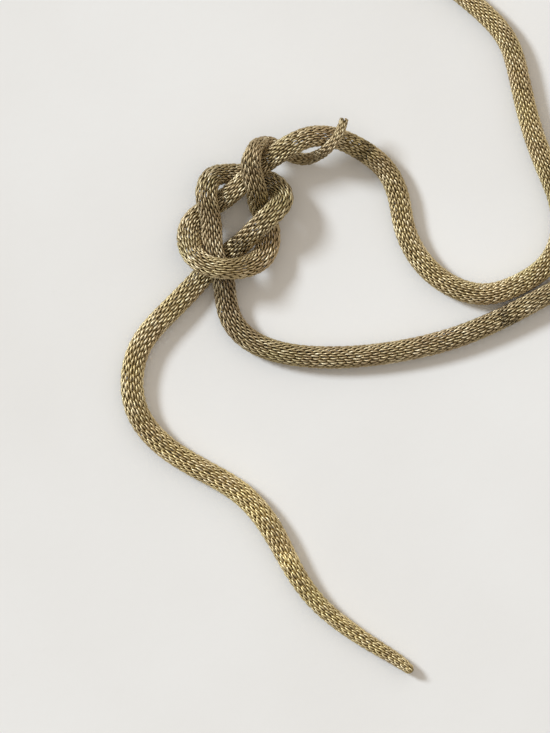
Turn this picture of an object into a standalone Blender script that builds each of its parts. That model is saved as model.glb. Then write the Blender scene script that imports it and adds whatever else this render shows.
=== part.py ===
# A slim tie belt: one long tube knitted from brass wire, with a narrow open tip at each end.
# It lies on a level surface at z = 0, tied in a knot, and the loop that goes round the waist is whole.
# Lengths are in metres, apart from the route's places, which are in millimetres.
import math

import bmesh
import bpy
import numpy as np

MM = 0.001

# The knitted tube
TUBE_WIDTH = 0.009
KNIT_WALL = 0.0012
TUBE_SIDES = 12

# How close the tube comes to the surface before its underside lies flat on it
SAG_TO_SURFACE = 0.00012

# Distance between the tube's cross-sections, in the knot and where the belt lies free
KNOT_SPACING = 0.0042
FREE_SPACING = 0.0084

# The route of the tube's middle line from one tip to the other.
# Places are in millimetres; height, width and thickness are shares of TUBE_WIDTH,
# and height is that of the middle line above the surface.
ROUTE_COLUMNS = ("stretch", "x", "y", "height", "width", "thickness")
ROUTE = (
    ("tail_a", -14.8, -199.8, 0.50, 0.40, 0.50),
    ("tail_a", -19.7, -196.0, 0.42, 0.58, 0.60),
    ("tail_a", -29.7, -189.7, 0.37, 0.68, 0.70),
    ("tail_a", -42.3, -181.3, 0.39, 0.76, 0.78),
    ("tail_a", -54.1, -171.3, 0.43, 0.82, 0.86),
    ("tail_a", -63.8, -158.2, 0.48, 0.90, 0.96),
    ("tail_a", -73.4, -140.6, 0.50, 1.04, 1.00),
    ("tail_a", -85.6, -125.9, 0.50, 1.04, 1.00),
    ("tail_a", -103.2, -115.0, 0.50, 1.04, 1.00),
    ("tail_a", -120.5, -103.6, 0.50, 1.05, 1.00),
    ("tail_a", -129.7, -91.5, 0.50, 1.05, 1.00),
    ("tail_a", -132.2, -78.4, 0.50, 1.05, 1.00),
    ("tail_a", -128.4, -62.9, 0.50, 1.04, 1.00),
    ("tail_a", -117.5, -49.5, 0.50, 1.04, 0.98),
    ("tail_a", -108.3, -40.2, 0.44, 1.04, 0.88),
    ("knot_a", -102.0, -33.5, 0.38, 0.99, 0.73),
    ("knot_a", -96.1, -28.0, 0.38, 0.97, 0.72),
    ("knot_a", -90.2, -23.4, 0.70, 1.00, 0.72),
    ("knot_a", -83.9, -18.0, 1.28, 0.98, 0.72),
    ("knot_a", -78.0, -12.1, 1.69, 0.99, 0.74),
    ("knot_a", -72.6, -7.0, 1.69, 1.03, 0.76),
    ("knot_a", -69.2, -1.6, 1.27, 1.04, 0.78),
    ("knot_a", -72.6, 3.9, 0.69, 1.12, 0.76),
    ("knot_a", -79.3, 7.2, 0.38, 1.01, 0.72),
    ("knot_a", -86.4, 8.9, 0.40, 0.91, 0.72),
    ("knot_a", -93.6, 8.9, 0.64, 0.92, 0.74),
    ("knot_a", -99.2, 6.5, 1.20, 1.00, 0.78),
    ("knot_a", -101.0, 0.5, 1.38, 1.02, 0.76),
    ("knot_a", -99.9, -6.2, 1.28, 0.97, 0.72),
    ("knot_a", -98.8, -14.2, 1.06, 0.97, 0.76),
    ("knot_a", -98.4, -21.7, 1.12, 0.97, 0.72),
    ("knot_a", -96.5, -28.5, 1.18, 0.97, 0.72),
    ("strand_2", -94.0, -35.6, 1.04, 1.04, 0.80),
    ("strand_2", -92.9, -43.2, 0.60, 1.02, 0.94),
    ("strand_2", -90.2, -52.6, 0.50, 1.03, 1.00),
    ("strand_2", -82.6, -60.8, 0.50, 1.02, 1.00),
    ("strand_2", -68.4, -66.3, 0.50, 1.00, 1.00),
    ("strand_2", -49.1, -68.1, 0.50, 1.03, 1.00),
    ("strand_2", -19.7, -65.4, 0.50, 1.00, 1.00),
    ("strand_2", 6.4, -58.7, 0.50, 1.00, 1.00),
    ("strand_2", 26.5, -49.9, 0.56, 0.95, 1.00),
    ("strand_2", 44.2, -40.6, 0.60, 0.93, 1.00),
    ("hidden", 68.5, -27.6, 0.51, 0.97, 1.00),
    ("hidden", 102.1, -3.3, 0.50, 1.00, 1.00),
    ("hidden", 128.2, 42.1, 0.50, 1.00, 1.00),
    ("hidden", 128.2, 107.2, 0.50, 1.00, 1.00),
    ("hidden", 97.9, 163.9, 0.50, 1.00, 1.00),
    ("hidden", 45.4, 195.1, 0.50, 1.00, 1.00),
    ("hidden", -7.1, 187.4, 0.50, 1.00, 1.00),
    ("hidden", -34.8, 153.4, 0.50, 0.96, 1.00),
    ("hidden", -26.0, 115.6, 0.50, 0.94, 0.98),
    ("strand_4", -3.7, 92.5, 0.49, 0.92, 0.96),
    ("strand_4", 13.1, 78.6, 0.49, 0.92, 0.96),
    ("strand_4", 25.3, 64.8, 0.49, 0.94, 0.96),
    ("strand_4", 30.3, 49.2, 0.49, 0.95, 0.96),
    ("strand_4", 34.5, 31.6, 0.49, 0.96, 0.97),
    ("strand_4", 41.2, 12.7, 0.50, 0.98, 1.00),
    ("turn", 47.1, -2.8, 0.50, 1.00, 1.00),
    ("turn", 47.5, -18.0, 0.50, 1.00, 1.00),
    ("turn", 41.7, -29.3, 0.50, 0.98, 1.00),
    ("turn", 30.3, -37.3, 0.50, 0.97, 1.00),
    ("strand_3", 16.5, -41.5, 0.50, 1.00, 1.00),
    ("strand_3", 1.3, -37.7, 0.49, 1.00, 0.98),
    ("strand_3", -11.3, -26.8, 0.47, 1.00, 0.94),
    ("strand_3", -18.0, -12.9, 0.45, 0.98, 0.90),
    ("strand_3", -20.5, -0.3, 0.47, 1.00, 0.88),
    ("strand_3", -25.8, 10.7, 0.58, 0.98, 0.86),
    ("strand_3", -35.6, 18.8, 0.96, 0.99, 0.84),
    ("strand_3", -47.0, 23.9, 1.46, 0.97, 0.76),
    ("strand_3", -58.3, 24.1, 1.92, 0.98, 0.78),
    ("strand_3", -68.0, 19.4, 1.94, 1.02, 0.78),
    ("knot_b", -75.1, 14.4, 1.54, 0.92, 0.74),
    ("knot_b", -81.4, 9.3, 1.22, 0.97, 0.74),
    ("knot_b", -88.5, 2.6, 1.16, 0.93, 0.74),
    ("knot_b", -95.7, -2.8, 0.62, 0.97, 0.72),
    ("knot_b", -102.4, -7.0, 0.47, 0.97, 0.72),
    ("knot_b", -107.4, -12.5, 0.56, 1.05, 0.78),
    ("knot_b", -108.2, -18.8, 0.96, 1.15, 0.76),
    ("knot_b", -106.0, -25.5, 1.64, 1.01, 0.76),
    ("knot_b", -99.9, -29.7, 1.93, 0.97, 0.74),
    ("knot_b", -91.9, -31.0, 1.92, 0.97, 0.74),
    ("knot_b", -84.0, -29.8, 1.36, 1.03, 0.74),
    ("knot_b", -77.5, -25.8, 0.98, 1.08, 0.72),
    ("knot_b", -75.0, -19.6, 0.74, 1.10, 0.72),
    ("knot_b", -75.1, -12.5, 0.76, 0.97, 0.72),
    ("knot_b", -78.3, -5.4, 0.92, 1.01, 0.72),
    ("knot_b", -80.1, 2.2, 1.85, 0.97, 0.76),
    ("knot_b", -81.8, 8.9, 2.09, 0.97, 0.76),
    ("tail_b", -82.2, 14.0, 2.24, 0.92, 0.76),
    ("tail_b", -80.9, 18.5, 2.24, 0.76, 0.70),
    ("tail_b", -78.0, 21.3, 1.40, 0.68, 0.66),
    ("tail_b", -74.1, 21.6, 0.96, 0.64, 0.62),
    ("tail_b", -70.1, 19.3, 0.96, 0.62, 0.64),
    ("tail_b", -65.4, 16.5, 0.98, 0.60, 0.60),
    ("tail_b", -59.8, 15.1, 1.02, 0.55, 0.54),
    ("tail_b", -54.6, 16.5, 1.46, 0.51, 0.50),
    ("tail_b", -50.8, 18.9, 2.16, 0.49, 0.46),
    ("tail_b", -47.4, 22.5, 2.28, 0.46, 0.46),
    ("tail_b", -44.7, 27.3, 2.16, 0.44, 0.44),
    ("tail_b", -43.2, 31.8, 2.04, 0.38, 0.38),
)
CLOSE_STRETCHES = ("knot_a", "knot_b", "tail_b")

# The finish of the wire
BRASS_COLOUR = (0.36, 0.27, 0.13, 1.0)
BRASS_ROUGHNESS = 0.38


def clear_scene():
    for item in list(bpy.data.objects):
        bpy.data.objects.remove(item, do_unlink=True)


def column(name):
    return [row[ROUTE_COLUMNS.index(name)] for row in ROUTE]


def route_rows():
    """Each row as x, y, z, width and thickness in metres."""
    places = np.array([column("x"), column("y")]) * MM
    shares = np.array([column("height"), column("width"), column("thickness")]) * TUBE_WIDTH
    return np.vstack([places, shares]).T


def distances_along(points):
    steps = np.linalg.norm(np.diff(points[:, :3], axis=0), axis=1)
    return np.concatenate([[0.0], np.cumsum(steps)])


def bending_of(rows, distances):
    """Second derivatives of the natural cubic through the rows."""
    gaps = np.diff(distances)
    slopes = np.diff(rows, axis=0) / gaps[:, None]
    count = len(rows)
    system = np.eye(count)
    jumps = np.zeros(rows.shape)
    for i in range(1, count - 1):
        system[i, i - 1 : i + 2] = (gaps[i - 1], 2 * (gaps[i - 1] + gaps[i]), gaps[i])
        jumps[i] = 6 * (slopes[i] - slopes[i - 1])
    return np.linalg.solve(system, jumps)


def smooth_route(rows, distances, stations):
    """Points of the natural cubic through the rows, at these distances along their chords."""
    bending = bending_of(rows, distances)
    found = np.searchsorted(distances, stations, side="right") - 1
    i = np.clip(found, 0, len(rows) - 2)
    gap = (distances[i + 1] - distances[i])[:, None]
    before = (distances[i + 1] - stations)[:, None] / gap
    after = 1.0 - before
    straight = before * rows[i] + after * rows[i + 1]
    bent = (before**3 - before) * bending[i] + (after**3 - after) * bending[i + 1]
    return straight + bent * gap**2 / 6


def section_stations(distances):
    """Where the cross-sections stand: one at each row, and even ones between."""
    stations = []
    for i, stretch in enumerate(column("stretch")[:-1]):
        spacing = KNOT_SPACING if stretch in CLOSE_STRETCHES else FREE_SPACING
        count = max(1, round((distances[i + 1] - distances[i]) / spacing))
        stations.extend(np.linspace(distances[i], distances[i + 1], count, endpoint=False))
    return np.array(stations + [distances[-1]])


def tube_sections():
    """The middle line with its sideways and upward directions, widths and thicknesses."""
    rows = route_rows()
    distances = distances_along(rows)
    stations = section_stations(distances)
    centres = smooth_route(rows[:, :3], distances, stations)
    widths = np.interp(stations, distances, rows[:, 3])
    thicknesses = np.interp(stations, distances, rows[:, 4])
    centres[:, 2] = np.maximum(centres[:, 2], thicknesses / 2)
    along = np.gradient(centres, stations, axis=0)
    along /= np.linalg.norm(along, axis=1)[:, None]
    sideways = np.cross(along, (0.0, 0.0, 1.0))
    sideways /= np.linalg.norm(sideways, axis=1)[:, None]
    upward = np.cross(sideways, along)
    return centres, sideways, upward, widths, thicknesses


def section_rings(inset):
    """Corner points of each cross-section, drawn in from the outside by the inset."""
    centres, sideways, upward, widths, thicknesses = tube_sections()
    across = widths / 2 - inset
    over = thicknesses / 2 - inset
    half_side = math.pi / TUBE_SIDES
    rings = []
    for corner in range(TUBE_SIDES):
        angle = (2 * corner + 1) * half_side - math.pi / 2
        reach = np.array([math.cos(angle), math.sin(angle)]) / math.cos(half_side)
        point = centres + sideways * (across * reach[0])[:, None]
        point = point + upward * (over * reach[1])[:, None]
        point[:, 2] = np.where(point[:, 2] < SAG_TO_SURFACE, 0.0, point[:, 2])
        rings.append(point)
    return np.stack(rings, axis=1)


def add_rings(shape, rings):
    return [[shape.verts.new(corner) for corner in ring] for ring in rings]


def join_rings(shape, first, second):
    for i, corner in enumerate(first):
        shape.faces.new((corner, second[i], second[i - 1], first[i - 1]))


def knitted_tube():
    """The whole belt: an outer and an inner skin, joined round the mouth of each tip."""
    shape = bmesh.new()
    outer = add_rings(shape, section_rings(0.0))
    inner = add_rings(shape, section_rings(KNIT_WALL))
    for i in range(len(outer) - 1):
        join_rings(shape, outer[i], outer[i + 1])
        join_rings(shape, inner[i + 1], inner[i])
    join_rings(shape, inner[0], outer[0])
    join_rings(shape, outer[-1], inner[-1])
    bmesh.ops.recalc_face_normals(shape, faces=shape.faces)
    mesh = bpy.data.meshes.new("mesh_tube")
    shape.to_mesh(mesh)
    shape.free()
    mesh.shade_smooth()
    mesh.set_sharp_from_angle(angle=math.radians(50))
    tube = bpy.data.objects.new("mesh_tube", mesh)
    bpy.context.scene.collection.objects.link(tube)
    return tube


def brass_wire():
    material = bpy.data.materials.new("brass_wire")
    material.use_nodes = True
    surface = material.node_tree.nodes["Principled BSDF"]
    surface.inputs["Base Color"].default_value = BRASS_COLOUR
    surface.inputs["Metallic"].default_value = 1.0
    surface.inputs["Roughness"].default_value = BRASS_ROUGHNESS
    return material


def build():
    clear_scene()
    tube = knitted_tube()
    tube.data.materials.append(brass_wire())


build()
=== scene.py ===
import math

import bpy
import numpy as np
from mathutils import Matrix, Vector


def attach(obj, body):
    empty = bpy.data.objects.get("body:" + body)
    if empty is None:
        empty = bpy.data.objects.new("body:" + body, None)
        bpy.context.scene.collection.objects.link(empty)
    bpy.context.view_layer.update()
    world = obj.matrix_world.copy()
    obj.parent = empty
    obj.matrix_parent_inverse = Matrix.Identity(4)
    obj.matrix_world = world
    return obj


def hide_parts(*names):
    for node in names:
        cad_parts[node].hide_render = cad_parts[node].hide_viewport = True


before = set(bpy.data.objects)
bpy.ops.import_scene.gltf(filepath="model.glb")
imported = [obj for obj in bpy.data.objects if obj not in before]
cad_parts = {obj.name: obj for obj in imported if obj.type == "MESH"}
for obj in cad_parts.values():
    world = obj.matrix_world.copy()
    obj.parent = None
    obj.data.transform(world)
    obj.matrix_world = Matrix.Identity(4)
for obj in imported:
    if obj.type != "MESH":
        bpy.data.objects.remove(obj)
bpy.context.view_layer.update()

# The photograph's frame: its height in pixels, its scale, and the point at its middle
IMAGE_HEIGHT = 733
METRES_PER_PIXEL = 0.00042
VIEW_MIDDLE = (-0.0722, -0.0719)

# The camera, straight above that point; its sensor is in millimetres
CAMERA_HEIGHT = 8.0
SENSOR = 36.0

# The knitted tube, as in the part's source
TUBE_WIDTH = 0.009

# The route of the tube's middle line from one tip to the other.
# Height, width and thickness are shares of TUBE_WIDTH.
ROUTE_COLUMNS = ("stretch", "x", "y", "height", "width", "thickness")
ROUTE = (
    ("tail_a", -0.0148, -0.1998, 0.50, 0.40, 0.50),
    ("tail_a", -0.0197, -0.1960, 0.42, 0.58, 0.60),
    ("tail_a", -0.0297, -0.1897, 0.37, 0.68, 0.70),
    ("tail_a", -0.0423, -0.1813, 0.39, 0.76, 0.78),
    ("tail_a", -0.0541, -0.1713, 0.43, 0.82, 0.86),
    ("tail_a", -0.0638, -0.1582, 0.48, 0.90, 0.96),
    ("tail_a", -0.0734, -0.1406, 0.50, 1.04, 1.00),
    ("tail_a", -0.0856, -0.1259, 0.50, 1.04, 1.00),
    ("tail_a", -0.1032, -0.1150, 0.50, 1.04, 1.00),
    ("tail_a", -0.1205, -0.1036, 0.50, 1.05, 1.00),
    ("tail_a", -0.1297, -0.0915, 0.50, 1.05, 1.00),
    ("tail_a", -0.1322, -0.0784, 0.50, 1.05, 1.00),
    ("tail_a", -0.1284, -0.0629, 0.50, 1.04, 1.00),
    ("tail_a", -0.1175, -0.0495, 0.50, 1.04, 0.98),
    ("tail_a", -0.1083, -0.0402, 0.44, 1.04, 0.88),
    ("knot_a", -0.1020, -0.0335, 0.38, 0.99, 0.73),
    ("knot_a", -0.0961, -0.0280, 0.38, 0.97, 0.72),
    ("knot_a", -0.0902, -0.0234, 0.70, 1.00, 0.72),
    ("knot_a", -0.0839, -0.0180, 1.28, 0.98, 0.72),
    ("knot_a", -0.0780, -0.0121, 1.69, 0.99, 0.74),
    ("knot_a", -0.0726, -0.0070, 1.69, 1.03, 0.76),
    ("knot_a", -0.0692, -0.0016, 1.27, 1.04, 0.78),
    ("knot_a", -0.0726, 0.0039, 0.69, 1.12, 0.76),
    ("knot_a", -0.0793, 0.0072, 0.38, 1.01, 0.72),
    ("knot_a", -0.0864, 0.0089, 0.40, 0.91, 0.72),
    ("knot_a", -0.0936, 0.0089, 0.64, 0.92, 0.74),
    ("knot_a", -0.0992, 0.0065, 1.20, 1.00, 0.78),
    ("knot_a", -0.1010, 0.0005, 1.38, 1.02, 0.76),
    ("knot_a", -0.0999, -0.0062, 1.28, 0.97, 0.72),
    ("knot_a", -0.0988, -0.0142, 1.06, 0.97, 0.76),
    ("knot_a", -0.0984, -0.0217, 1.12, 0.97, 0.72),
    ("knot_a", -0.0965, -0.0285, 1.18, 0.97, 0.72),
    ("strand_2", -0.0940, -0.0356, 1.04, 1.04, 0.80),
    ("strand_2", -0.0929, -0.0432, 0.60, 1.02, 0.94),
    ("strand_2", -0.0902, -0.0526, 0.50, 1.03, 1.00),
    ("strand_2", -0.0826, -0.0608, 0.50, 1.02, 1.00),
    ("strand_2", -0.0684, -0.0663, 0.50, 1.00, 1.00),
    ("strand_2", -0.0491, -0.0681, 0.50, 1.03, 1.00),
    ("strand_2", -0.0197, -0.0654, 0.50, 1.00, 1.00),
    ("strand_2", 0.0064, -0.0587, 0.50, 1.00, 1.00),
    ("strand_2", 0.0265, -0.0499, 0.56, 0.95, 1.00),
    ("strand_2", 0.0442, -0.0406, 0.60, 0.93, 1.00),
    ("hidden", 0.0685, -0.0276, 0.51, 0.97, 1.00),
    ("hidden", 0.1021, -0.0033, 0.50, 1.00, 1.00),
    ("hidden", 0.1282, 0.0421, 0.50, 1.00, 1.00),
    ("hidden", 0.1282, 0.1072, 0.50, 1.00, 1.00),
    ("hidden", 0.0979, 0.1639, 0.50, 1.00, 1.00),
    ("hidden", 0.0454, 0.1951, 0.50, 1.00, 1.00),
    ("hidden", -0.0071, 0.1874, 0.50, 1.00, 1.00),
    ("hidden", -0.0348, 0.1534, 0.50, 0.96, 1.00),
    ("hidden", -0.0260, 0.1156, 0.50, 0.94, 0.98),
    ("strand_4", -0.0037, 0.0925, 0.49, 0.92, 0.96),
    ("strand_4", 0.0131, 0.0786, 0.49, 0.92, 0.96),
    ("strand_4", 0.0253, 0.0648, 0.49, 0.94, 0.96),
    ("strand_4", 0.0303, 0.0492, 0.49, 0.95, 0.96),
    ("strand_4", 0.0345, 0.0316, 0.49, 0.96, 0.97),
    ("strand_4", 0.0412, 0.0127, 0.50, 0.98, 1.00),
    ("turn", 0.0471, -0.0028, 0.50, 1.00, 1.00),
    ("turn", 0.0475, -0.0180, 0.50, 1.00, 1.00),
    ("turn", 0.0417, -0.0293, 0.50, 0.98, 1.00),
    ("turn", 0.0303, -0.0373, 0.50, 0.97, 1.00),
    ("strand_3", 0.0165, -0.0415, 0.50, 1.00, 1.00),
    ("strand_3", 0.0013, -0.0377, 0.49, 1.00, 0.98),
    ("strand_3", -0.0113, -0.0268, 0.47, 1.00, 0.94),
    ("strand_3", -0.0180, -0.0129, 0.45, 0.98, 0.90),
    ("strand_3", -0.0205, -0.0003, 0.47, 1.00, 0.88),
    ("strand_3", -0.0258, 0.0107, 0.58, 0.98, 0.86),
    ("strand_3", -0.0356, 0.0188, 0.96, 0.99, 0.84),
    ("strand_3", -0.0470, 0.0239, 1.46, 0.97, 0.76),
    ("strand_3", -0.0583, 0.0241, 1.92, 0.98, 0.78),
    ("strand_3", -0.0680, 0.0194, 1.94, 1.02, 0.78),
    ("knot_b", -0.0751, 0.0144, 1.54, 0.92, 0.74),
    ("knot_b", -0.0814, 0.0093, 1.22, 0.97, 0.74),
    ("knot_b", -0.0885, 0.0026, 1.16, 0.93, 0.74),
    ("knot_b", -0.0957, -0.0028, 0.62, 0.97, 0.72),
    ("knot_b", -0.1024, -0.0070, 0.47, 0.97, 0.72),
    ("knot_b", -0.1074, -0.0125, 0.56, 1.05, 0.78),
    ("knot_b", -0.1082, -0.0188, 0.96, 1.15, 0.76),
    ("knot_b", -0.1060, -0.0255, 1.64, 1.01, 0.76),
    ("knot_b", -0.0999, -0.0297, 1.93, 0.97, 0.74),
    ("knot_b", -0.0919, -0.0310, 1.92, 0.97, 0.74),
    ("knot_b", -0.0840, -0.0298, 1.36, 1.03, 0.74),
    ("knot_b", -0.0775, -0.0258, 0.98, 1.08, 0.72),
    ("knot_b", -0.0750, -0.0196, 0.74, 1.10, 0.72),
    ("knot_b", -0.0751, -0.0125, 0.76, 0.97, 0.72),
    ("knot_b", -0.0783, -0.0054, 0.92, 1.01, 0.72),
    ("knot_b", -0.0801, 0.0022, 1.85, 0.97, 0.76),
    ("knot_b", -0.0818, 0.0089, 2.09, 0.97, 0.76),
    ("tail_b", -0.0822, 0.0140, 2.24, 0.92, 0.76),
    ("tail_b", -0.0809, 0.0185, 2.24, 0.76, 0.70),
    ("tail_b", -0.0780, 0.0213, 1.40, 0.68, 0.66),
    ("tail_b", -0.0741, 0.0216, 0.96, 0.64, 0.62),
    ("tail_b", -0.0701, 0.0193, 0.96, 0.62, 0.64),
    ("tail_b", -0.0654, 0.0165, 0.98, 0.60, 0.60),
    ("tail_b", -0.0598, 0.0151, 1.02, 0.55, 0.54),
    ("tail_b", -0.0546, 0.0165, 1.46, 0.51, 0.50),
    ("tail_b", -0.0508, 0.0189, 2.16, 0.49, 0.46),
    ("tail_b", -0.0474, 0.0225, 2.28, 0.46, 0.46),
    ("tail_b", -0.0447, 0.0273, 2.16, 0.44, 0.44),
    ("tail_b", -0.0432, 0.0318, 2.04, 0.38, 0.38),
)

# How far apart the courses of stitches lie in each stretch
COURSE_PITCH = {
    "tail_a": 0.0036,
    "knot_a": 0.0035,
    "strand_2": 0.0036,
    "hidden": 0.0030,
    "strand_4": 0.00262,
    "turn": 0.0028,
    "strand_3": 0.0030,
    "knot_b": 0.0036,
    "tail_b": 0.0033,
}

# How golden the wire is along the belt. Each row is a distance along it,
# and the gold there, from 0 for dull bronze to 1 for bright gold.
GOLD = (
    (0.000, 0.62),
    (0.060, 0.96),
    (0.110, 0.96),
    (0.160, 0.64),
    (0.230, 0.42),
    (0.290, 0.20),
    (0.340, 0.12),
    (0.360, 0.00),
    (0.400, 0.26),
    (0.540, 0.30),
    (1.010, 0.70),
    (1.110, 0.60),
    (1.190, 0.58),
    (1.260, 0.48),
    (1.290, 0.30),
    (1.360, 0.34),
    (1.405, 0.45),
    (1.440, 0.20),
    (1.510, 0.22),
)

# The knit: the wire's diameter and sides, the yarns fed in side by side,
# and how far the wales run along the belt for one turn round it
WIRE_WIDTH = 0.00083
WIRE_SIDES = 5
FEEDERS = 2
WALE_TURN_LENGTH = -0.6

# The knit is finer towards the tips: the shares of the pitch and of the wire's width
# at these distances from the nearer tip
TIP_COLUMNS = ("from_tip", "pitch_share", "wire_share")
TIP = (
    (0.000, 0.80, 0.86),
    (0.020, 0.90, 0.92),
    (0.050, 1.00, 1.00),
)

# The tips are knitted with fewer wales. Each row is a distance along the belt,
# and how many wales go round from there on.
WALES = (
    (0.000, 8),
    (0.026, 10),
    (0.070, 12),
    (1.458, 10),
    (1.484, 8),
)

# How many courses each run of wales goes on past its ends
WALES_OVERLAP = 0.35

# One stitch. Each row is a point's place across in wales and along in courses, both from
# the stitch's middle, and its tuck: how deep it lies under the tube's face, in wire diameters.
STITCH = (
    (-0.50, -0.55, 1.15),
    (-0.28, -0.46, 1.00),
    (-0.20, -0.30, 0.55),
    (-0.21, -0.12, 0.08),
    (-0.25, 0.10, 0.00),
    (-0.29, 0.32, 0.20),
    (-0.31, 0.52, 0.80),
    (0.00, 0.78, 1.15),
    (0.31, 1.02, 0.80),
    (0.29, 0.82, 0.20),
    (0.25, 0.60, 0.00),
    (0.21, 0.38, 0.08),
    (0.20, 0.20, 0.55),
    (0.28, -0.02, 1.00),
)

# How far a stitch may lie from its even place, in wales and in courses.
# The drift is drawn at random, from a seed for each feeder and number of wales.
STITCH_DRIFT = (0.05, 0.07)
FEEDER_SEED = 1000

# How far the topmost wires stand out of the tube's face, and the least gap under any wire
PROUD = 0.0002
LEAST_GAP = 0.00002

# How thin a wire ends, as a share of its width
WIRE_END = 0.15

# How closely the tube's frames follow each other, and how many pieces the wires are kept in
FRAME_SPACING = 0.0005
PIECE_COUNT = 6

# The wire's colours: bronze and gold, their tarnish with painted shade between the stitches and on each
# wire's lower side, the patches along the belt, and the darkest and brightest single stitches
BRONZE_COLOUR = (0.42, 0.33, 0.205, 1.0)
GOLD_COLOUR = (1.0, 0.845, 0.46, 1.0)
# These tarnish colours are partly painted shade: they darken the gaps between stitches and the lower side
# of every wire
BRONZE_TARNISH_AND_SHADE = (0.17, 0.12, 0.055, 1.0)
GOLD_TARNISH_AND_SHADE = (0.54, 0.40, 0.15, 1.0)
BROWN_PATCH = (0.54, 0.39, 0.27, 1.0)
YELLOW_PATCH = (0.55, 0.50, 0.25, 1.0)
DARK_STITCH = (0.36, 0.27, 0.16, 1.0)
BRIGHT_STITCH = (1.0, 0.89, 0.64, 1.0)

# How closely the patches and marks follow each other: the noise's scale for one metre
BROWN_PATCH_SCALE = 60.0
YELLOW_PATCH_SCALE = 38.0
WIRE_MARK_SCALE = 1800.0

# Each range is the value where an effect starts, the value where it is full,
# and what the two are turned into
BROWN_PATCH_RANGE = (0.42, 0.72, 0.0, 0.6)
YELLOW_PATCH_RANGE = (0.45, 0.75, 0.0, 0.5)
DARK_STITCH_RANGE = (0.5, 1.0, 0.0, 0.5)
BRIGHT_STITCH_RANGE = (0.3, 0.0, 0.0, 0.55)
# Painted shade with tarnish: the depth where it starts and where it is full
TARNISH_AND_SHADE_RANGE = (0.35, 1.2, 0.0, 1.0)
WIRE_ROUGHNESS_RANGE = (0.3, 0.7, 0.43, 0.57)
WIRE_BUMP = {"Strength": 0.12, "Distance": 0.00008}

# The plaster's two tones, its specks, and how little it shines
PLASTER_COLOUR = (0.80, 0.79, 0.765, 1.0)
PALE_PLASTER_COLOUR = (0.83, 0.825, 0.805, 1.0)
SPECK_COLOUR = (0.74, 0.72, 0.68, 1.0)
CLOUD_SCALE = 7.0
SPECK_SCALE = 240.0
CLOUD_RANGE = (0.35, 0.65, 0.0, 1.0)
SPECK_RANGE = (0.66, 0.78, 0.0, 0.25)
PLASTER_ROUGHNESS_RANGE = (0.3, 0.7, 0.75, 0.9)
PLASTER_SPECULAR = 0.25
PLASTER_BUMP = {"Strength": 0.12, "Distance": 0.0006}

# The light: the key, which is as wide in the sky as its spread, and the soft light of the room
KEY_DIRECTION = (-0.679, 0.392, 0.623)
KEY_SPREAD_DEGREES = 14.0
KEY_STRENGTH = 2.62
KEY_COLOUR = (0.84, 0.914, 1.0)
SKY_DIRECTION = (0.25, 0.33, 0.91)
SKY_BRIGHT = 0.91
SKY_DIM = 0.0
SKY_COLOUR = (1.0, 0.915, 0.815)
BACKDROP_COLOUR = (0.80, 0.79, 0.77)

FLOOR_WIDTH = 90.0


def column(name):
    """One column of the route."""
    return [row[ROUTE_COLUMNS.index(name)] for row in ROUTE]


def route_rows():
    """Each row as x, y, z, width and thickness."""
    places = np.array([column("x"), column("y")])
    shares = np.array([column("height"), column("width"), column("thickness")]) * TUBE_WIDTH
    return np.vstack([places, shares]).T


def distances_along(points):
    """How far each point lies along straight lines from the first one."""
    steps = np.linalg.norm(np.diff(points[:, :3], axis=0), axis=1)
    return np.concatenate([[0.0], np.cumsum(steps)])


def bending_of(rows, distances):
    """Second derivatives of the natural cubic through the rows."""
    gaps = np.diff(distances)
    slopes = np.diff(rows, axis=0) / gaps[:, None]
    count = len(rows)
    system = np.eye(count)
    jumps = np.zeros(rows.shape)
    for i in range(1, count - 1):
        system[i, i - 1 : i + 2] = (gaps[i - 1], 2 * (gaps[i - 1] + gaps[i]), gaps[i])
        jumps[i] = 6 * (slopes[i] - slopes[i - 1])
    return np.linalg.solve(system, jumps)


def smooth_route(rows, distances, stations):
    """Points of the natural cubic through the rows, at these distances along their chords."""
    bending = bending_of(rows, distances)
    found = np.searchsorted(distances, stations, side="right") - 1
    i = np.clip(found, 0, len(rows) - 2)
    gap = (distances[i + 1] - distances[i])[:, None]
    before = (distances[i + 1] - stations)[:, None] / gap
    after = 1.0 - before
    straight = before * rows[i] + after * rows[i + 1]
    bent = (before**3 - before) * bending[i] + (after**3 - after) * bending[i + 1]
    return straight + bent * gap**2 / 6


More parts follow.
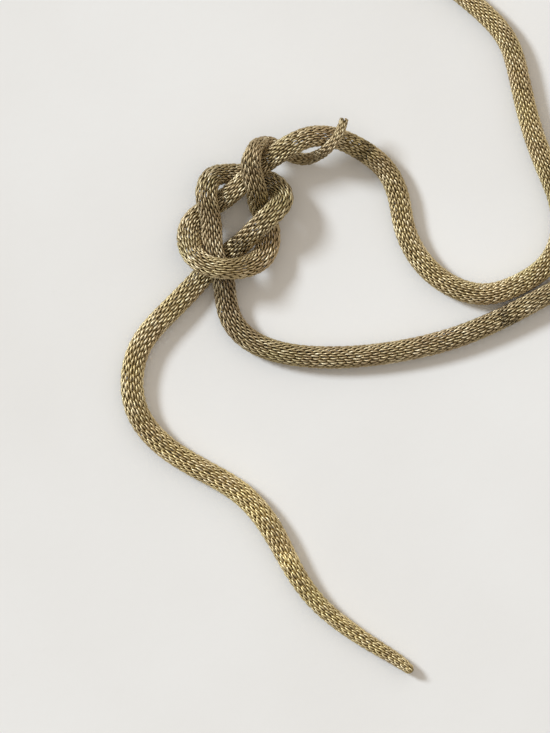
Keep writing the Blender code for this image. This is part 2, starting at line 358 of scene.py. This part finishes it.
class Tube:
    """The tube's face as a function of the distance along it and the angle round it."""

    def __init__(self):
        rows = route_rows()
        self.row_distances = distances_along(rows)
        self.length = self.row_distances[-1]
        self.stations = np.linspace(0.0, self.length, round(self.length / FRAME_SPACING))
        centres = smooth_route(rows[:, :3], self.row_distances, self.stations)
        self.widths = np.interp(self.stations, self.row_distances, rows[:, 3])
        self.thicknesses = np.interp(self.stations, self.row_distances, rows[:, 4])
        centres[:, 2] = np.maximum(centres[:, 2], self.thicknesses / 2)
        along = np.gradient(centres, self.stations, axis=0)
        along /= np.linalg.norm(along, axis=1)[:, None]
        sideways = np.cross(along, (0.0, 0.0, 1.0))
        sideways /= np.linalg.norm(sideways, axis=1)[:, None]
        self.centres = centres
        self.sideways = sideways
        self.upward = np.cross(sideways, along)

    def by_stretch(self, values):
        """A value of each stretch, read at every station."""
        wanted = [values[name] for name in column("stretch")]
        return np.interp(self.stations, self.row_distances, wanted)

    def by_tip(self, name, stations):
        """A column of TIP, read at these stations."""
        from_tip = np.minimum(stations, self.length - stations)
        values = np.array(TIP)
        return np.interp(from_tip, values[:, 0], values[:, TIP_COLUMNS.index(name)])

    def at(self, stations, quantity):
        """A number or vector that is known at every station of the tube, read at these stations."""
        if quantity.ndim == 1:
            return np.interp(stations, self.stations, quantity)
        parts = [np.interp(stations, self.stations, quantity[:, k]) for k in range(3)]
        return np.stack(parts, axis=1)

    def points(self, stations, angles, depths):
        """Points under the tube's face, and the outward directions there."""
        across = self.at(stations, self.widths) / 2 - depths
        over = self.at(stations, self.thicknesses) / 2 - depths
        sideways = self.at(stations, self.sideways)
        upward = self.at(stations, self.upward)
        sine = np.sin(angles)[:, None]
        cosine = np.cos(angles)[:, None]
        places = self.at(stations, self.centres)
        places = places + sideways * sine * across[:, None] + upward * cosine * over[:, None]
        outward = sideways * sine * over[:, None] + upward * cosine * across[:, None]
        outward /= np.linalg.norm(outward, axis=1)[:, None]
        return places, outward


def unit(vectors):
    """The same directions, each of length 1."""
    return vectors / np.linalg.norm(vectors, axis=1)[:, None]


def courses_along(tube):
    """How many courses lie before each station."""
    pitches = tube.by_stretch(COURSE_PITCH) * tube.by_tip("pitch_share", tube.stations)
    steps = np.diff(tube.stations) / pitches[1:]
    return np.concatenate([[0.0], np.cumsum(steps)])


def wale_angles(stations, turns):
    """The angles of places that lie this many turns round the tube, as the wales wind along it."""
    return -2 * math.pi * turns + 2 * math.pi * stations / WALE_TURN_LENGTH


def yarn(tube, feeder, wales, first, last):
    """One yarn's path between two distances.

    It is given as places, outward directions, wire widths, tucks, shades and stations.
    """
    courses = courses_along(tube)
    start, end = np.interp((first, last), tube.stations, courses)
    start = max(start - WALES_OVERLAP, 0.0)
    end = min(end + WALES_OVERLAP, courses[-1])
    count = int((end - start) * wales / FEEDERS)
    number = np.repeat(np.arange(count), len(STITCH))
    chance = np.random.default_rng(feeder * FEEDER_SEED + wales)
    drifts = chance.uniform(-1.0, 1.0, (count, 2)) * STITCH_DRIFT
    shades = chance.uniform(0.0, 1.0, count)
    across, along, tuck = np.tile(STITCH, (count, 1)).T
    across = across + drifts[number, 0]
    along = along + drifts[number, 1]
    stations = np.interp(start + number * FEEDERS / wales + along, courses, tube.stations)
    angles = wale_angles(stations, (number + across) / wales + feeder / FEEDERS)
    widths = WIRE_WIDTH * tube.by_tip("wire_share", stations)
    places, outward = tube.points(stations, angles, widths * (0.5 + tuck) - PROUD)
    places[:, 2] = np.maximum(places[:, 2], widths / 2 + LEAST_GAP)
    widths[[0, -1]] *= WIRE_END
    return places, outward, widths, tuck, shades[number], stations


def wire_mesh(places, outward, widths, tuck, shade, gold):
    """A wire along these places, with its depth under the face, its shade and its gold at every vertex."""
    forward = unit(np.gradient(places, axis=0))
    beside = unit(np.cross(forward, outward))
    above = np.cross(beside, forward)
    turn = 2 * math.pi * np.arange(WIRE_SIDES) / WIRE_SIDES + math.pi / 2
    cosine = np.cos(turn)[None, :, None]
    sine = np.sin(turn)[None, :, None]
    ring = cosine * beside[:, None] + sine * above[:, None]
    vertices = places[:, None] + ring * widths[:, None, None] / 2
    # The lower side of each wire also counts as deeper, so the tarnish mix paints shade there
    depth = tuck[:, None] + (1.0 - np.sin(turn)[None, :]) / 2
    near = np.arange(len(places) - 1)[:, None] * WIRE_SIDES
    far = near + WIRE_SIDES
    side = np.arange(WIRE_SIDES)[None]
    after = (side + 1) % WIRE_SIDES
    quads = np.stack([near + side, near + after, far + after, far + side], axis=-1)
    values = {
        "depth": depth.ravel(),
        "shade": np.repeat(shade, WIRE_SIDES),
        "gold": np.repeat(gold, WIRE_SIDES),
    }
    return vertices.reshape(-1, 3), quads.reshape(-1, 4), values


def joined(parts):
    """Several wires as one set of vertices, faces and values."""
    starts = np.cumsum([0] + [len(part[0]) for part in parts[:-1]])
    vertices = np.concatenate([part[0] for part in parts])
    quads = np.concatenate([part[1] + start for part, start in zip(parts, starts)])
    values = {key: np.concatenate([part[2][key] for part in parts]) for key in parts[0][2]}
    return vertices, quads, values


def mesh_object(name, vertices, quads, values):
    """A smooth mesh of these quads, with each of the values as a vertex attribute."""
    mesh = bpy.data.meshes.new(name)
    mesh.vertices.add(len(vertices))
    mesh.vertices.foreach_set("co", vertices.astype(np.float32).ravel())
    mesh.loops.add(quads.size)
    mesh.loops.foreach_set("vertex_index", quads.astype(np.int32).ravel())
    mesh.polygons.add(len(quads))
    mesh.polygons.foreach_set("loop_start", np.arange(0, quads.size, 4, dtype=np.int32))
    mesh.update(calc_edges=True)
    mesh.shade_smooth()
    for key, value in values.items():
        kept = mesh.attributes.new(key, "FLOAT", "POINT")
        kept.data.foreach_set("value", value.astype(np.float32))
    made = bpy.data.objects.new(name, mesh)
    bpy.context.scene.collection.objects.link(made)
    return made


def all_yarns(tube):
    """Every wire of the belt: the yarns of each run of wales."""
    starts = [start for start, wales in WALES]
    ends = starts[1:] + [tube.length]
    yarns = []
    for (start, wales), end in zip(WALES, ends):
        yarns += [yarn(tube, feeder, wales, start, end) for feeder in range(FEEDERS)]
    return yarns


def knit(tube, material):
    """The belt's wires, cut into pieces of like length along the belt."""
    yarns = all_yarns(tube)
    cuts = tube.length * np.arange(PIECE_COUNT + 1) / PIECE_COUNT
    for number in range(PIECE_COUNT):
        parts = []
        for *of_wire, stations in yarns:
            inside = np.flatnonzero((stations >= cuts[number]) & (stations <= cuts[number + 1]))
            if len(inside) < 2:
                continue
            kept = slice(inside[0], min(inside[-1] + 2, len(stations)))
            golds = np.interp(stations[kept], *zip(*GOLD))
            parts.append(wire_mesh(*[values[kept] for values in of_wire], golds))
        made = mesh_object(f"knit_{number + 1}", *joined(parts))
        made.data.materials.append(material)
        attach(made, "root")
        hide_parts("mesh_tube")


class Nodes:
    """Adds nodes to a material and joins them."""

    def __init__(self, material):
        self.tree = material.node_tree

    def add(self, kind, values=(), **settings):
        node = self.tree.nodes.new(kind)
        for key, value in settings.items():
            setattr(node, key, value)
        for key, value in dict(values).items():
            node.inputs[key].default_value = value
        return node

    def join(self, source, target):
        self.tree.links.new(source, target)

    def mix(self, factor, first, second):
        """A colour mix. Each colour is a socket or a plain colour."""
        node = self.add("ShaderNodeMix", data_type="RGBA")
        self.join(factor, node.inputs["Factor"])
        for socket, colour in ((node.inputs[6], first), (node.inputs[7], second)):
            if isinstance(colour, tuple):
                socket.default_value = colour
            else:
                self.join(colour, socket)
        return node.outputs[2]

    def ramp(self, source, low, high, first, last):
        """The source turned from low to high into first to last, and held at both ends."""
        values = {"From Min": low, "From Max": high, "To Min": first, "To Max": last}
        node = self.add("ShaderNodeMapRange", values)
        self.join(source, node.inputs["Value"])
        return node.outputs["Result"]

    def noise(self, scale, detail=3.0, roughness=0.55):
        place = self.add("ShaderNodeTexCoord").outputs["Object"]
        values = {"Scale": scale, "Detail": detail, "Roughness": roughness}
        node = self.add("ShaderNodeTexNoise", values)
        self.join(place, node.inputs["Vector"])
        return node.outputs["Fac"]

    def attribute(self, name):
        return self.add("ShaderNodeAttribute", attribute_name=name).outputs["Fac"]

    def bump(self, values, height, surface):
        node = self.add("ShaderNodeBump", values)
        self.join(height, node.inputs["Height"])
        self.join(node.outputs["Normal"], surface.inputs["Normal"])


def new_material(name):
    """A new material, its surface shader and its nodes."""
    material = bpy.data.materials.new(name)
    material.use_nodes = True
    return material, material.node_tree.nodes["Principled BSDF"], Nodes(material)


def brass_wire():
    """Brass that runs from bronze to gold, with patches, tarnish and painted shade between the stitches
    and on the wires' lower sides, and fine marks.
    """
    material, surface, nodes = new_material("brass_wire")
    gold = nodes.attribute("gold")
    shade = nodes.attribute("shade")
    browns = nodes.noise(BROWN_PATCH_SCALE)
    yellows = nodes.noise(YELLOW_PATCH_SCALE)
    tone = nodes.mix(gold, BRONZE_COLOUR, GOLD_COLOUR)
    tone = nodes.mix(nodes.ramp(browns, *BROWN_PATCH_RANGE), tone, BROWN_PATCH)
    tone = nodes.mix(nodes.ramp(yellows, *YELLOW_PATCH_RANGE), tone, YELLOW_PATCH)
    tone = nodes.mix(nodes.ramp(shade, *DARK_STITCH_RANGE), tone, DARK_STITCH)
    tone = nodes.mix(nodes.ramp(shade, *BRIGHT_STITCH_RANGE), tone, BRIGHT_STITCH)
    # Painted shade with tarnish: the deeper a vertex lies, or the lower it sits on its wire, the darker it
    # is painted
    tarnish_and_shade = nodes.mix(gold, BRONZE_TARNISH_AND_SHADE, GOLD_TARNISH_AND_SHADE)
    depth = nodes.ramp(nodes.attribute("depth"), *TARNISH_AND_SHADE_RANGE)
    nodes.join(nodes.mix(depth, tone, tarnish_and_shade), surface.inputs["Base Color"])
    surface.inputs["Metallic"].default_value = 1.0
    marks = nodes.noise(WIRE_MARK_SCALE, detail=2.0)
    nodes.join(nodes.ramp(marks, *WIRE_ROUGHNESS_RANGE), surface.inputs["Roughness"])
    nodes.bump(WIRE_BUMP, marks, surface)
    return material


def plaster():
    """Matt off-white plaster with faint clouds and specks."""
    material, surface, nodes = new_material("plaster")
    clouds = nodes.noise(CLOUD_SCALE, detail=4.0)
    specks = nodes.noise(SPECK_SCALE, detail=5.0, roughness=0.65)
    base = nodes.mix(nodes.ramp(clouds, *CLOUD_RANGE), PLASTER_COLOUR, PALE_PLASTER_COLOUR)
    base = nodes.mix(nodes.ramp(specks, *SPECK_RANGE), base, SPECK_COLOUR)
    nodes.join(base, surface.inputs["Base Color"])
    nodes.join(nodes.ramp(specks, *PLASTER_ROUGHNESS_RANGE), surface.inputs["Roughness"])
    surface.inputs["Specular IOR Level"].default_value = PLASTER_SPECULAR
    nodes.bump(PLASTER_BUMP, specks, surface)
    return material


def floor():
    corners = np.array([(-1, -1, 0), (1, -1, 0), (1, 1, 0), (-1, 1, 0)]) * FLOOR_WIDTH / 2
    made = mesh_object("floor", corners, np.array([(0, 1, 2, 3)]), {})
    made.data.materials.append(plaster())


def sky():
    """Soft light from above, brightest from the side opposite the key, and a plain pale backdrop."""
    world = bpy.data.worlds.new("studio")
    world.use_nodes = True
    bpy.context.scene.world = world
    nodes = Nodes(world)
    background = world.node_tree.nodes["Background"]
    facing = nodes.add("ShaderNodeVectorMath", operation="DOT_PRODUCT")
    nodes.join(nodes.add("ShaderNodeTexCoord").outputs["Generated"], facing.inputs[0])
    facing.inputs[1].default_value = SKY_DIRECTION
    strength = nodes.ramp(facing.outputs["Value"], 0.0, 1.0, SKY_DIM, SKY_BRIGHT)
    background.inputs["Color"].default_value = (*SKY_COLOUR, 1.0)
    nodes.join(strength, background.inputs["Strength"])
    backdrop = nodes.add("ShaderNodeBackground", {"Color": (*BACKDROP_COLOUR, 1.0)})
    shown = nodes.add("ShaderNodeMixShader")
    nodes.join(nodes.add("ShaderNodeLightPath").outputs["Is Camera Ray"], shown.inputs[0])
    nodes.join(background.outputs["Background"], shown.inputs[1])
    nodes.join(backdrop.outputs["Background"], shown.inputs[2])
    nodes.join(shown.outputs["Shader"], world.node_tree.nodes["World Output"].inputs["Surface"])


def key_light():
    direction = Vector(KEY_DIRECTION).normalized()
    data = bpy.data.lights.new("key", "SUN")
    data.angle = math.radians(KEY_SPREAD_DEGREES)
    data.energy = KEY_STRENGTH
    data.color = KEY_COLOUR
    lamp = bpy.data.objects.new("key", data)
    lamp.location = Vector((*VIEW_MIDDLE, 0.0)) + direction
    lamp.rotation_mode = "QUATERNION"
    lamp.rotation_quaternion = direction.to_track_quat("Z", "Y")
    bpy.context.scene.collection.objects.link(lamp)


def camera():
    data = bpy.data.cameras.new("camera")
    data.sensor_width = SENSOR
    data.lens = SENSOR * CAMERA_HEIGHT / (IMAGE_HEIGHT * METRES_PER_PIXEL)
    made = bpy.data.objects.new("camera", data)
    made.location = (*VIEW_MIDDLE, CAMERA_HEIGHT)
    bpy.context.scene.collection.objects.link(made)
    bpy.context.scene.camera = made


camera()
sky()
key_light()
floor()
tube = Tube()
knit(tube, brass_wire())
bpy.context.scene.view_settings.view_transform = "Standard"
